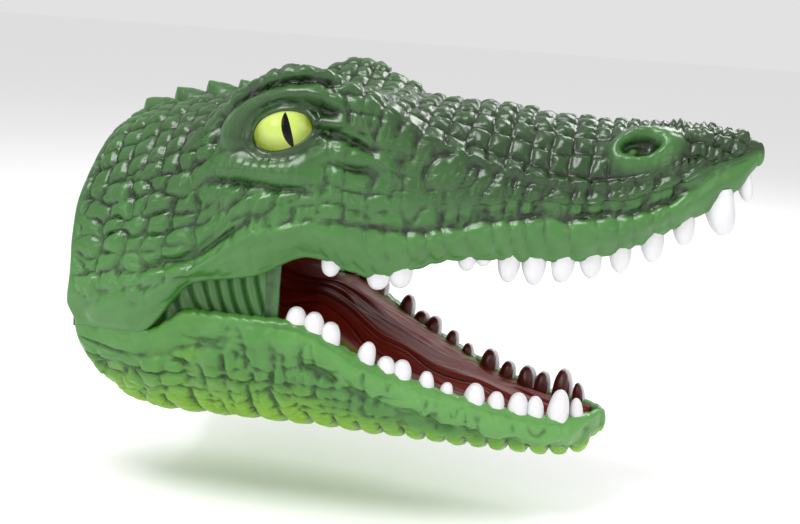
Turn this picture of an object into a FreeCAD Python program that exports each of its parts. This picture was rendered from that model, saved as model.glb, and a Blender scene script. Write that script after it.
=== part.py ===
"""Crocodile-head hand puppet with a moving mouth, moulded in soft rubber.

+X is the way the snout points, +Y is the animal's left and +Z is up. The origin lies under the
middle of the head, on the table that its throat and lower jaw stand on. Sizes are millimetres.
"""
import FreeCAD, Part
import math
import os
from bisect import bisect_right
from FreeCAD import Vector

# ---- driving dimensions ---------------------------------------------------------------------
wall = 2.6                         # rubber wall of every shell
neck_x, snout_x = -117, 117        # plane of the neck opening, and the front of the snout
split_x, chin_x = -50, 74          # where the throat skin meets the jaw shell, and the jaw's front
mouth_x = -38                      # corner of the mouth, at the front edge of the cheek bellows
panel_gap = 0.5                    # clear space between the throat skin and the jaw shell
solid_snout, solid_chin = 12, 8    # rubber left solid in front of each hollow
overrun = 14                       # how far a hollow runs out past its open sides

# ---- lines along the upper head: (X, half width) or (X, height) -------------------------------
lip_y = [(-117, 41.5), (-84, 47), (-50, 48.5), (-18, 44), (10, 37), (40, 28), (70, 22.5),
         (95, 16), (112, 7.5), (117, 2.5)]
lip_z = [(-117, 38), (-88, 39.5), (-68, 60), (-46, 65), (-28, 73), (-6, 67.5), (20, 75), (56, 76.5),
         (72, 80.5), (95, 92.5), (112, 105.5), (117, 112)]
crease_y = [(-117, 42.5), (-84, 50), (-50, 53), (-20, 51), (2, 43), (39, 32), (79, 23.5),
            (100, 15.5), (117, 3)]
crease_z = [(-117, 56), (-66, 68), (-46, 82), (-20, 86.5), (2, 84.5), (39, 91.4), (63, 92.6),
            (89, 100), (104, 110), (117, 116)]
ridge_y = [(-117, 34), (-84, 40.5), (-58, 43.5), (-36, 45), (-14, 41), (8, 34.5), (26, 31),
           (61, 25), (90, 17.5), (109, 8), (117, 2)]
ridge_z = [(-117, 86), (-84, 99), (-68, 110), (-54, 126), (-34, 135.5), (-14, 129), (8, 115),
           (46, 104), (61, 103), (94, 112), (117, 118.5)]
crown_z = [(-117, 105.5), (-104, 113), (-88, 118.5), (-66, 123), (16, 126.5), (62, 123.5),
           (100, 124.5), (117, 120.5)]

# ---- lines along the throat and lower jaw ----------------------------------------------------
jaw_swell = 1.0                    # fullness of the side below the lip
jaw_lip_y = [(-117, 41.5), (-84, 47), (-50, 48.5), (-18, 44.5), (10, 35), (40, 23.5), (60, 17),
             (71, 8), (74, 2.5)]
jaw_lip_z = [(-117, 37.5), (-88, 38.5), (-68, 49.5), (-36, 49.5), (-5, 35.6), (22, 25), (48, 18.4),
             (60, 17), (74, 18.5)]
keel_z = [(-117, 11), (-94, 1.5), (-80, -1), (-64, -1), (-46, 1.4), (4, 1), (30, -1), (54, -1),
          (66, 1.8), (74, 10)]     # below Z = 0 it is cut flat, and there the head stands

head_stations = [-117, -102, -88, -78, -68, -58, -46, -36, -24, -10, 6, 22, 38, 54, 70, 84, 96,
                 105, 112, 117]
throat_stations = [-113, -102, -90, -80, -72, -64, -56, -50]
jaw_stations = [split_x + panel_gap, -36, -22, -8, 8, 24, 40, 52, 60, 66, 71, 74]

# ---- teeth of one side, in joined groups: (X of the crown, width, height) -----------------------
upper_teeth = [
    [(-20.5, 6.8, 6.5)], [(-5, 7.6, 6), (2, 8.2, 6.5)], [(23.5, 6.4, 5.6), (28.8, 5.6, 4)],
    [(37.5, 7.4, 9.4)], [(46, 8.2, 10)], [(55.5, 8, 9)], [(64.5, 7.6, 8.4)], [(74, 7.2, 9)],
    [(84, 7.8, 9.4)], [(94, 7.2, 9)], [(105, 9.6, 13)], [(112.8, 5, 8)]]
lower_teeth = [
    [(-32, 7, 7), (-26.2, 7.4, 7.6), (-20.4, 7.4, 7.4)], [(-8, 6.4, 8.4)],
    [(-1.2, 6.8, 6), (4, 7, 7.2)], [(12.5, 5.6, 6.6)], [(19.5, 4.8, 5.2)], [(29, 7.2, 8)],
    [(36.5, 6.2, 7)], [(44.4, 7.2, 8.6), (50.4, 6.4, 8.6)], [(58.5, 7.6, 12.4)], [(65, 4.8, 8.4)]]
upper_inset, lower_inset = 3.6, 4.6      # a tooth's middle in from the outer lip edge
upper_lean, lower_lean = 8, 4            # degrees that the teeth lean outward
tooth_follow = 0.35                      # share of the lip's slope that a tooth tips by
tooth_root, tooth_peg = 2.0, 0.86        # depth of a tooth's peg, and its width to the crown's
tooth_ball = 0.5                         # tip radius to the crown's
tooth_tip_turns = (12, 36, 62)           # degrees round the ball: its worn tip, middle and shoulder
tooth_midline = 0.4                      # least space from a front tooth to the mid-plane

# ---- mouth lining ---------------------------------------------------------------------------
lining_thick = 3.2
lining_reach = 60                        # half width of a lining before it is trimmed to its shell
palate_rise, palate_arch = 2.0, 5.0      # edge of the palate above the lip, and its arch
floor_drop, tongue_rise = 1.6, 3.6       # edge of the floor below the lip, and the tongue's crown
palate_stations = [-37.5, -28, -18, -6, 8, 20, 38, 56, 72, 84, 95, 106]
floor_stations = [-36.5, -22, -5, 10, 22, 35, 48, 60, 68]

# ---- cheek bellows and gullet -----------------------------------------------------------------
bellows_rear = -84
rib_count, rib_radius = 9, 2.2
bellows_y, bellows_thick = 42.0, 2.0     # the panel's middle surface, and its web
bellows_tuck = 3.0                       # how far the panel runs in behind each lip
gullet_depth, gullet_thick = 24, 2.2     # how far the wall bows back, and its thickness
gullet_side_gap = 0.6
gullet_overlap = 4.5                     # how far the wall runs past the palate and the floor

# ---- eyes and neck scutes ---------------------------------------------------------------------
eye_x, eye_z, eye_radius = -38.5, 115, 13
eye_crown_y, eye_depth = 51, 8           # how far out the dome stands, and how deep it is
pupil_width, pupil_height, pupil_depth, pupil_tilt = 3.4, 15, 1.0, 6
scutes = [(-99, 12, 4.6), (-86.8, 12, 5), (-74.6, 12, 5), (-62.4, 11.5, 4)]   # X, length, height
scute_thick, scute_foot = 5, 5           # blade thickness, and the depth it is first sunk to


def slope(knots, i):
    """Slope at knot i that never overshoots: the harmonic mean of the chords on its two sides."""
    chords = [(b[1] - a[1]) / (b[0] - a[0]) for a, b in zip(knots, knots[1:])]
    if i in (0, len(knots) - 1):
        return chords[0 if i == 0 else -1]
    before, after = chords[i - 1], chords[i]
    return 0 if before * after <= 0 else 2 * before * after / (before + after)


def along(knots, x):
    """Height or half width at x of the smooth line through (x, value) knots."""
    x = min(max(x, knots[0][0]), knots[-1][0])
    i = min(bisect_right([k[0] for k in knots], x) - 1, len(knots) - 2)
    (x0, v0), (x1, v1) = knots[i], knots[i + 1]
    run = x1 - x0
    t = (x - x0) / run
    ease = t * t * (3 - 2 * t)
    leave = slope(knots, i) * run * t * (1 - t) ** 2
    arrive = slope(knots, i + 1) * run * t * t * (1 - t)
    return v0 + (v1 - v0) * ease + leave - arrive


def head_half(x):
    """Half a section of the head as (y, z), from the lip edge over the brow ridge to the crown."""
    lip = (along(lip_y, x), along(lip_z, x))
    crease = (along(crease_y, x), along(crease_z, x))
    ridge = (along(ridge_y, x), along(ridge_z, x))
    crown = along(crown_z, x)
    swell = min(2.2, 0.12 * lip[0])
    band = ((lip[0] + crease[0]) / 2 + swell, (lip[1] + crease[1]) / 2)
    cheek = ((crease[0] + ridge[0]) / 2 + swell, (crease[1] + ridge[1]) / 2)
    roof = (0.55 * ridge[0], crown - 0.25 * (crown - ridge[1]))
    return [lip, band, crease, cheek, ridge, roof, (0, crown)]


def jaw_half(x):
    """Half a section of the throat and jaw as (y, z): a quarter ellipse down to the keel."""
    half, lip, keel = along(jaw_lip_y, x), along(jaw_lip_z, x), along(keel_z, x)
    swell = jaw_swell * min(1, half / 20)
    angles = [math.radians(15 * step) for step in range(6)]
    side = [(half * math.cos(a) + swell * math.sin(2 * a), lip - (lip - keel) * math.sin(a))
            for a in angles]
    return side + [(0, keel)]


def inset(points, depth):
    """The half section moved inward by depth along its own normals."""
    inward = 1 if points[0][1] > points[-1][1] else -1
    mirrored = points + [(-points[-2][0], points[-2][1])]
    moved = []
    for i, (y, z) in enumerate(points):
        before, after = mirrored[max(i - 1, 0)], mirrored[i + 1]
        dy, dz = after[0] - before[0], after[1] - before[1]
        scale = inward * depth / math.hypot(dy, dz)
        moved.append((max(y + scale * dz, 0), z - scale * dy))
    return moved


def section(x, half, overrun_z=0):
    """Closed section at x, curved over both halves and straight across its open side.

    The two open edges are first carried on by overrun_z."""
    left = [Vector(x, y, z) for y, z in half]
    right = [Vector(x, -y, z) for y, z in half[-2::-1]]
    curve = Part.BSplineCurve()
    curve.interpolate(left + right)
    corners = [right[-1], left[0]]
    if overrun_z:
        drop = Vector(0, 0, overrun_z)
        corners = [right[-1], right[-1] + drop, left[0] + drop, left[0]]
    sides = [Part.makeLine(a, b) for a, b in zip(corners, corners[1:])]
    return Part.Wire([curve.toShape()] + sides)


def form(stations, half_at):
    """Solid with the outer shape, straight from each section to the next, flat on the table."""
    solid = Part.makeLoft([section(x, half_at(x)) for x in stations], True, True)
    size = 2 * (snout_x - neck_x)
    above_table = Part.makeBox(size, size, size, Vector(-size / 2, -size / 2, 0))
    return solid.common(above_table)


def hollow(stations, half_at, rear, front, overrun_z):
    """Solid of the room inside a form, one wall smaller, from rear to front."""
    inside = [x for x in stations if rear < x < front]
    wires = [section(x, inset(half_at(x), wall), overrun_z) for x in [rear] + inside + [front]]
    return Part.makeLoft(wires, True, True)


def lining(stations, low_at, arch_at, room):
    """Plate across a hollow, trimmed by the room in it so that it meets the shell's inner face.

    low_at gives the underside at the plate's edges, and arch_at the rise of its middle."""
    wires = []
    for x in stations:
        low, arch = low_at(x), arch_at(x)
        width = min(along(jaw_lip_y, x), along(lip_y, x))
        span = [-lining_reach] + [width * k / 4 for k in range(-3, 4)] + [lining_reach]
        below = [Vector(x, y, low + arch * math.cos(math.pi / 2 * min(abs(y) / (0.8 * width), 1)) ** 2)
                 for y in span]
        above = [p + Vector(0, 0, lining_thick) for p in reversed(below)]
        edges = []
        for points in (below, above):
            curve = Part.BSplineCurve()
            curve.interpolate(points)
            edges.append(curve.toShape())
        edges.insert(1, Part.makeLine(below[-1], above[0]))
        edges.append(Part.makeLine(above[-1], below[0]))
        wires.append(Part.Wire(edges))
    return Part.makeLoft(wires, True, True).common(room)


def tooth(width, height):
    """A bulging cone on the XY plane, with a ball worn flat for its tip, on a peg below the plane."""
    r = width / 2
    ball = tooth_ball * r
    rim, middle, shoulder = [Vector(ball * math.sin(turn), 0, height - ball + ball * math.cos(turn))
                             for turn in map(math.radians, tooth_tip_turns)]
    flank = Part.BSplineCurve()
    flank.interpolate([Vector(r, 0, 0), Vector(0.96 * r, 0, 0.33 * height),
                       Vector(0.8 * r, 0, 0.64 * height), shoulder])
    top, heel = Vector(0, 0, rim.z), Vector(0, 0, -tooth_root)
    foot = Vector(tooth_peg * r, 0, -tooth_root)
    sides = [Part.makeLine(a, b) for a, b in ((rim, top), (top, heel), (heel, foot), (foot, Vector(r, 0, 0)))]
    cap = Part.Arc(shoulder, middle, rim)
    profile = Part.Face(Part.Wire([flank.toShape(), cap.toShape()] + sides))
    return profile.revolve(Vector(0, 0, 0), Vector(0, 0, 1), 360)


def tooth_row(groups, edge_y, edge_z, lower):
    """Every joined group of teeth on both sides, by node name, set along a lip's edge."""
    jaw, way = ("lower", -1) if lower else ("upper", 1)
    gum = -floor_drop if lower else palate_rise
    set_in = lower_inset if lower else upper_inset
    lean = lower_lean if lower else upper_lean
    row = {}
    for side, hand in (("left", 1), ("right", -1)):
        for number, group in enumerate(groups, 1):
            crowns = []
            for x, width, height in group:
                y = max(along(edge_y, x) - set_in, width / 2 + tooth_midline)
                fall = math.degrees(math.atan2(along(edge_z, x - 2) - along(edge_z, x + 2), 4))
                crown = tooth(width, height + abs(gum))
                crown.rotate(Vector(0, 0, 0), Vector(1, 0, 0), 0 if lower else 180)
                crown.rotate(Vector(0, 0, 0), Vector(1, 0, 0), way * hand * lean)
                crown.rotate(Vector(0, 0, 0), Vector(0, 1, 0), tooth_follow * fall)
                crown.translate(Vector(x, hand * y, along(edge_z, x) + gum))
                crowns.append(crown)
            row[f"{jaw}_tooth_{side}_{number}"] = crowns[0].fuse(crowns[1:]) if crowns[1:] else crowns[0]
    return row


def eye(hand):
    """Domed eye, and the slit pupil let into its crown."""
    centre = Vector(eye_x, hand * (eye_crown_y - eye_radius), eye_z)
    size = 3 * eye_radius
    back = eye_crown_y - eye_depth
    keep = Part.makeBox(size, size, size, Vector(eye_x - size / 2, back if hand > 0 else -back - size,
                                                 eye_z - size / 2))
    dome = Part.makeSphere(eye_radius, centre).common(keep)
    outline = Part.Ellipse(Vector(0, 0, 0), pupil_height / 2, pupil_width / 2).toShape()
    slit = Part.Face(Part.Wire([outline])).extrude(Vector(0, 0, size))
    slit.rotate(Vector(0, 0, 0), Vector(1, 0, 0), -90 * hand)
    slit.rotate(Vector(0, 0, 0), Vector(0, 1, 0), 90 - pupil_tilt)
    slit.translate(centre)
    pupil = dome.common(slit).cut(Part.makeSphere(eye_radius - pupil_depth, centre))
    return dome.cut(pupil), pupil


def cheek_bellows(hand):
    """Ribbed panel that closes one cheek between the lips, tucked in behind both of them."""
    length, height = mouth_x - bellows_rear, 60
    pitch = length / rib_count
    low_z = along(jaw_lip_z, bellows_rear) - bellows_tuck
    web = Part.makeBox(length, bellows_thick, height,
                       Vector(bellows_rear, hand * bellows_y - bellows_thick / 2, low_z))
    ribs = [Part.makeCylinder(rib_radius, height, Vector(bellows_rear + pitch * (k + 0.5),
                                                         hand * bellows_y, low_z))
            for k in range(rib_count)]
    xs = [bellows_rear + length * k / 6 for k in range(7)]
    low = [Vector(x, 0, along(jaw_lip_z, x) - bellows_tuck) for x in xs]
    high = [Vector(x, 0, along(lip_z, x) + bellows_tuck) for x in reversed(xs)]
    side = Part.Face(Part.makePolygon(low + high + low[:1])).extrude(Vector(0, 4 * rib_radius, 0))
    side.translate(Vector(0, hand * bellows_y - 2 * rib_radius, 0))
    return web.fuse(ribs).common(side)


def gullet_wall():
    """Wall across the back of the mouth, bowed to the rear between the two bellows."""
    front = mouth_x - 1
    half = bellows_y - rib_radius - gullet_side_gap
    low = along(jaw_lip_z, mouth_x) - gullet_overlap
    high = along(lip_z, mouth_x) + gullet_overlap
    edges = []
    for inward in (0, gullet_thick):
        arc = Part.Arc(Vector(front, inward - half, low), Vector(front - gullet_depth + inward, 0, low),
                       Vector(front, half - inward, low))
        edges.append(arc.toShape())
    ends = [[e.valueAt(e.FirstParameter), e.valueAt(e.LastParameter)] for e in edges]
    closing = [Part.makeLine(a, b) for a, b in zip(*ends)]
    return Part.Face(Part.Wire(Part.__sortEdges__(edges + closing))).extrude(Vector(0, 0, high - low))


def neck_scutes(head_form):
    """Leaf-shaped plates in a row on the neck, each highest at its rear edge."""
    blades = []
    for x, length, height in scutes:
        rear, front = x - length / 2, x + length / 2
        foot = along(crown_z, x) - scute_foot
        peak = Vector(rear, 0, along(crown_z, rear) + height)
        toe = Vector(front, 0, along(crown_z, front) + 0.3)
        shoulder = Vector(x, 0, along(crown_z, x) + 0.75 * height)
        back, heel = Vector(rear, 0, foot), Vector(front, 0, foot)
        edges = [Part.Arc(peak, shoulder, toe).toShape(), Part.makeLine(toe, heel),
                 Part.makeLine(heel, back), Part.makeLine(back, peak)]
        blade = Part.Face(Part.Wire(edges)).extrude(Vector(0, scute_thick, 0))
        blade.translate(Vector(0, -scute_thick / 2, 0))
        blades.append(blade.cut(head_form))
    return Part.makeCompound(blades)


def build():
    """Every node of the puppet by name."""
    rear = neck_x - overrun
    head_form = form(head_stations, head_half)
    head_room = hollow(head_stations, head_half, rear, snout_x - solid_snout, -overrun)
    throat_room = hollow(throat_stations, jaw_half, rear, split_x + overrun, overrun)
    jaw_room = hollow(jaw_stations, jaw_half, split_x - overrun, chin_x - solid_chin, overrun)

    upper = tooth_row(upper_teeth, lip_y, lip_z, False)
    lower = tooth_row(lower_teeth, jaw_lip_y, jaw_lip_z, True)
    upper_solids, lower_solids = list(upper.values()), list(lower.values())
    nodes = {**upper, **lower}

    eyes = []
    for side, hand in (("left", 1), ("right", -1)):
        dome, pupil = eye(hand)
        eyes += [dome, pupil]
        nodes[f"eye_{side}"], nodes[f"pupil_{side}"] = dome, pupil
        nodes[f"cheek_bellows_{side}"] = cheek_bellows(hand)

    palate = lining(palate_stations, lambda x: along(lip_z, x) + palate_rise,
                    lambda x: palate_arch * min(1, along(lip_y, x) / 30), head_room)
    floor = lining(floor_stations, lambda x: along(jaw_lip_z, x) - floor_drop - lining_thick,
                   lambda x: tongue_rise * min(1, along(jaw_lip_y, x) / 30), jaw_room)
    nodes["head_shell"] = head_form.cut(head_room).cut(eyes + upper_solids)
    nodes["palate"] = palate.cut(upper_solids)
    nodes["mouth_floor"] = floor.cut(lower_solids)
    nodes["jaw_shell"] = form(jaw_stations, jaw_half).cut(jaw_room).cut(lower_solids)
    nodes["throat_skin"] = form(throat_stations, jaw_half).cut(throat_room)
    nodes["gullet_wall"] = gullet_wall()
    nodes["neck_scutes"] = neck_scutes(head_form)
    return nodes


if __name__ == "__main__":
    os.makedirs("parts", exist_ok=True)
    for name, shape in sorted(build().items()):
        print(f"{name:24s} valid {shape.isValid()}  solids {len(shape.Solids)}  {shape.Volume:8.0f} mm3")
        shape.exportStep(f"parts/{name}.step")
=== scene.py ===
import math

import bmesh
import bpy
import numpy as np
from mathutils import Matrix, Vector


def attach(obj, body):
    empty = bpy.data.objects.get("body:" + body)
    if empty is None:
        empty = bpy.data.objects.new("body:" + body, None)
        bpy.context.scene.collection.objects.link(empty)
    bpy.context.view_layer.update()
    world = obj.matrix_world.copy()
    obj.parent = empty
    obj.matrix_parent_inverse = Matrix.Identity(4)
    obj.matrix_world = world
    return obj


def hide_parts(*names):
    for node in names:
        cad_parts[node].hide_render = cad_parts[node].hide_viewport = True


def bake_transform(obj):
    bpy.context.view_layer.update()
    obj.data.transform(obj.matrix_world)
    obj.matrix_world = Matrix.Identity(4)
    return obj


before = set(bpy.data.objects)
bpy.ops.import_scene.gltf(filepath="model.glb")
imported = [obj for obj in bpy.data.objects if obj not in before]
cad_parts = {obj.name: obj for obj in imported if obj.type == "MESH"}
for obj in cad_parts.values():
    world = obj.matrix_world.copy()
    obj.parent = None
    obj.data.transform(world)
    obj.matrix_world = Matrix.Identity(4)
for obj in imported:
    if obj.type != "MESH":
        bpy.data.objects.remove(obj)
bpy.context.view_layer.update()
mm = 0.001
print("frame loaded")

# Lines along the head and jaw, as (X, half width) or (X, height) in mm, the same as the CAD's.
neckX, snoutX, chinX, mouthX = -117, 117, 74, -38
head = {
    "lipY": [(-117, 41.5), (-84, 47), (-50, 48.5), (-18, 44), (10, 37), (40, 28), (70, 22.5), (95, 16),
             (112, 7.5), (117, 2.5)],
    "lipZ": [(-117, 38), (-88, 39.5), (-68, 60), (-46, 65), (-28, 73), (-6, 67.5), (20, 75), (56, 76.5),
             (72, 80.5), (95, 92.5), (112, 105.5), (117, 112)],
    "creaseY": [(-117, 42.5), (-84, 50), (-50, 53), (-20, 51), (2, 43), (39, 32), (79, 23.5),
                (100, 15.5), (117, 3)],
    "creaseZ": [(-117, 56), (-66, 68), (-46, 82), (-20, 86.5), (2, 84.5), (39, 91.4), (63, 92.6),
                (89, 100), (104, 110), (117, 116)],
    "ridgeY": [(-117, 34), (-84, 40.5), (-58, 43.5), (-36, 45), (-14, 41), (8, 34.5), (26, 31),
               (61, 25), (90, 17.5), (109, 8), (117, 2)],
    "ridgeZ": [(-117, 86), (-84, 99), (-68, 110), (-54, 126), (-34, 135.5), (-14, 129), (8, 115),
               (46, 104), (61, 103), (94, 112), (117, 118.5)],
    "crownZ": [(-117, 105.5), (-104, 113), (-88, 118.5), (-66, 123), (16, 126.5), (62, 123.5),
               (100, 124.5), (117, 120.5)],
}
jaw = {
    "lipY": [(-117, 41.5), (-84, 47), (-50, 48.5), (-18, 44.5), (10, 35), (40, 23.5), (60, 17), (71, 8),
             (74, 2.5)],
    "lipZ": [(-117, 37.5), (-88, 38.5), (-68, 49.5), (-36, 49.5), (-5, 35.6), (22, 25), (48, 18.4),
             (60, 17), (74, 18.5)],
    "keelZ": [(-117, 11), (-94, 2.2), (-80, 1), (-64, 1), (-46, 1.8), (4, 2), (30, 1), (54, 1),
              (66, 2.4), (74, 10)],
}


def smooth(low, high, x):
    # 0 below low, 1 above high, and the S-curve 3t^2 - 2t^3 between; high may be below low
    t = np.clip((x - low) / (high - low), 0, 1)
    return t * t * (3 - 2 * t)


def bump(distance, width):
    # bell: e to the power minus (distance over width) squared
    return np.exp(-(distance / width) ** 2)


def along(knots, x):
    # smooth line through (x, value) knots, its slope at a knot the harmonic mean of both chords
    kx, kv = np.array(knots, float).T
    run = np.diff(kx)
    chord = np.diff(kv) / run
    same = chord[:-1] * chord[1:] > 0
    total = np.where(same, chord[:-1] + chord[1:], 1)
    mean = np.where(same, 2 * chord[:-1] * chord[1:] / total, 0)
    slope = np.concatenate([chord[:1], mean, chord[-1:]])
    x = np.clip(x, kx[0], kx[-1])
    i = np.clip(np.searchsorted(kx, x, side="right") - 1, 0, len(kx) - 2)
    t = (x - kx[i]) / run[i]
    level = kv[i] + (kv[i + 1] - kv[i]) * t * t * (3 - 2 * t)
    return level + slope[i] * run[i] * t * (1 - t) ** 2 - slope[i + 1] * run[i] * t * t * (1 - t)


def through(controls, knots, at):
    # cubic through each point's own controls (..., knot, axis), slopes from the neighbours' chords and
    # at most three times the flatter of the two, so that the line never swings back
    knots = np.array(knots, float)
    run = np.diff(knots)[:, None]
    chord = np.diff(controls, axis=-2) / run
    inner = (chord[..., :-1, :] * run[1:] + chord[..., 1:, :] * run[:-1]) / (run[:-1] + run[1:])
    cap = 3 * np.minimum(np.abs(chord[..., :-1, :]), np.abs(chord[..., 1:, :]))
    inner = np.where(chord[..., :-1, :] * chord[..., 1:, :] > 0, np.clip(inner, -cap, cap), inner)
    slope = np.concatenate([chord[..., :1, :], inner, chord[..., -1:, :]], axis=-2)
    i = np.clip(np.searchsorted(knots, at, side="right") - 1, 0, len(knots) - 2)

    def pick(array, index):
        return np.take_along_axis(array, index[..., None, None], axis=-2)[..., 0, :]

    span = (knots[i + 1] - knots[i])[..., None]
    t = (at - knots[i])[..., None] / span
    level = pick(controls, i) + (pick(controls, i + 1) - pick(controls, i)) * t * t * (3 - 2 * t)
    return level + span * t * (1 - t) * (pick(slope, i) * (1 - t) - pick(slope, i + 1) * t)


def scatter(column, row, seed):
    # a number from 0 to 1 that two whole numbers and a seed fix
    n = (column.astype(np.int64) * 374761393 + row.astype(np.int64) * 668265263 + seed * 974634777)
    n = n & 0xFFFFFFFF
    n = ((n ^ (n >> 13)) * 1274126177) & 0xFFFFFFFF
    n = ((n ^ (n >> 16)) * 668265263) & 0xFFFFFFFF
    return ((n ^ (n >> 15)) & 0xFFFFFF) / float(0x1000000)


def noise(a, b, seed, layers=1):
    # smooth random height from -1 to 1 over (a, b), each further layer half as high and twice as fine
    height, total = 0, 0
    for layer in range(layers):
        fine = 2 ** layer
        column, row = np.floor(a * fine), np.floor(b * fine)
        u, w = a * fine - column, b * fine - row
        u, w = u * u * (3 - 2 * u), w * w * (3 - 2 * w)
        low = scatter(column, row, seed + layer) * (1 - u) + scatter(column + 1, row, seed + layer) * u
        high = scatter(column, row + 1, seed + layer) * (1 - u)
        high = high + scatter(column + 1, row + 1, seed + layer) * u
        height = height + (2 * (low * (1 - w) + high * w) - 1) / fine
        total = total + 1 / fine
    return height / total


def folds(a, b, seed, layers=1):
    # creased height from 0 in the folds to 1: the size of a smooth noise
    return np.clip(np.abs(noise(a, b, seed, layers)) * 2.6, 0, 1)


def scales(a, b, seed, jitter):
    # squarish scales one unit wide: (height that falls to 0 at each scale's edge, random number of it)
    # edge distance is half the gap between the nearest two centres by the sixth-power rule
    column, row = np.floor(a), np.floor(b)
    first, second = np.full(a.shape, 9.0), np.full(a.shape, 9.0)
    name = np.zeros(a.shape)
    for i in (-1, 0, 1):
        for j in (-1, 0, 1):
            c, r = column + i, row + j
            x = c + 0.5 + jitter * (2 * scatter(c, r, seed) - 1)
            y = r + 0.5 + jitter * (2 * scatter(c, r, seed + 1) - 1)
            far = ((a - x) ** 6 + (b - y) ** 6) ** (1 / 6)
            nearer = far < first
            second = np.where(nearer, first, np.minimum(second, far))
            name = np.where(nearer, scatter(c, r, seed + 2), name)
            first = np.where(nearer, far, first)
    return np.clip((second - first) / 2, 0, 0.5), name


def normals(points):
    # unit normals of a grid: across the direction of its rows and the direction of its columns
    n = np.cross(np.gradient(points, axis=0), np.gradient(points, axis=1))
    return n / np.maximum(np.linalg.norm(n, axis=-1, keepdims=True), 1e-9)


def gridFaces(rows, columns, first=0, ring=False):
    # faces of a grid of points; in a ring the last row joins the first
    index = np.arange(rows * columns).reshape(rows, columns) + first
    if ring:
        index = np.vstack([index, index[:1]])
    corners = [index[:-1, :-1], index[:-1, 1:], index[1:, 1:], index[1:, :-1]]
    return np.stack([c.ravel() for c in corners], axis=1).tolist()


def zipFaces(fine, coarse):
    # triangles between two edges with different numbers of points, the finer one first
    step = np.round(np.linspace(0, len(coarse) - 1, len(fine))).astype(int)
    across = [(fine[i + 1], fine[i], coarse[step[i]]) for i in range(len(fine) - 1)]
    jump = [(fine[i + 1], coarse[step[i]], coarse[step[i + 1]]) for i in range(len(fine) - 1)
            if step[i + 1] > step[i]]
    return across + jump


def sideEdges(rows, columns, first):
    # the four edges of a grid, one after the other round it
    index = np.arange(rows * columns).reshape(rows, columns) + first
    return [index[0], index[:, -1], index[-1, ::-1], index[::-1, 0]]


def putMesh(name, points, faces, material, shades):
    # one finished piece from points in mm; shades are attributes with one number for each point
    mesh = bpy.data.meshes.new(name)
    mesh.from_pydata((points.reshape(-1, 3) * mm).tolist(), [], faces)
    for label, values in shades.items():
        layer = mesh.attributes.new(label, "FLOAT", "POINT")
        layer.data.foreach_set("value", np.asarray(values, np.float32).ravel())
    mesh.materials.append(material)
    work = bmesh.new()
    work.from_mesh(mesh)
    bmesh.ops.remove_doubles(work, verts=work.verts, dist=2e-6)
    if work.calc_volume(signed=True) < 0:
        bmesh.ops.reverse_faces(work, faces=work.faces)
    work.to_mesh(mesh)
    work.free()
    mesh.polygons.foreach_set("use_smooth", np.ones(len(mesh.polygons), bool))
    piece = bpy.data.objects.new(name, mesh)
    bpy.context.scene.collection.objects.link(piece)
    print(name, len(mesh.polygons), "faces")
    return piece


def slab(name, front, back, material, shades):
    # closed piece of a shown grid and a grid behind it, joined along all four edges
    rows, columns = front.shape[:2]
    backRows, backColumns = back.shape[:2]
    first = rows * columns
    behind = [face[::-1] for face in gridFaces(backRows, backColumns, first)]
    rim = []
    for fine, coarse in zip(sideEdges(rows, columns, 0), sideEdges(backRows, backColumns, first)):
        rim += zipFaces(fine.tolist(), coarse.tolist())
    faces = gridFaces(rows, columns) + behind + rim
    points = np.vstack([front.reshape(-1, 3), back.reshape(-1, 3)])
    full = {}
    for label, (shown, hidden) in shades.items():
        full[label] = np.concatenate([np.ravel(shown), np.full(backRows * backColumns, float(hidden))])
    return putMesh(name, points, faces, material, full)


def colour(code):
    # an sRGB hex code turned into linear light
    parts = np.array([int(code[i:i + 2], 16) / 255 for i in (1, 3, 5)])
    light = np.where(parts <= 0.04045, parts / 12.92, ((parts + 0.055) / 1.055) ** 2.4)
    return (*light, 1)


def addNode(tree, kind, settings=None, links=None):
    # a node with its settings, which are properties or unlinked sockets, and its incoming links
    node = tree.nodes.new(kind)
    for key, value in (settings or {}).items():
        if isinstance(key, str) and hasattr(node, key):
            setattr(node, key, value)
        else:
            node.inputs[key].default_value = value
    for key, socket in (links or {}).items():
        tree.links.new(socket, node.inputs[key])
    return node


def startMaterial(name):
    material = bpy.data.materials.new(name)
    material.use_nodes = True
    material.node_tree.nodes.clear()
    return material, material.node_tree


def ramp(tree, value, stops):
    # colours along a value, each stop a place from 0 to 1 and an sRGB code
    node = addNode(tree, "ShaderNodeValToRGB", {}, {"Fac": value})
    for k, (place, code) in enumerate(stops):
        stop = node.color_ramp.elements[k] if k < 2 else node.color_ramp.elements.new(place)
        stop.position = place
        stop.color = colour(code)
    return node.outputs["Color"]


def mixed(tree, amount, low, high):
    # low colour at 0, high colour at 1; each is a socket or an sRGB code
    node = addNode(tree, "ShaderNodeMix", {"data_type": "RGBA"}, {"Factor": amount})
    for place, value in ((6, low), (7, high)):
        if isinstance(value, str):
            node.inputs[place].default_value = colour(value)
        else:
            tree.links.new(value, node.inputs[place])
    return node.outputs[2]


def ranged(tree, value, low, high, toLow=0.0, toHigh=1.0):
    # value from low..high put onto toLow..toHigh, and held there outside
    settings = {"From Min": low, "From Max": high, "To Min": toLow, "To Max": toHigh}
    return addNode(tree, "ShaderNodeMapRange", settings, {"Value": value}).outputs["Result"]


def shade(tree, label):
    return addNode(tree, "ShaderNodeAttribute", {"attribute_name": label}).outputs["Fac"]


def perMetre(sizeMm):
    # pattern scale for features of this size
    return 1000 / sizeMm


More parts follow.
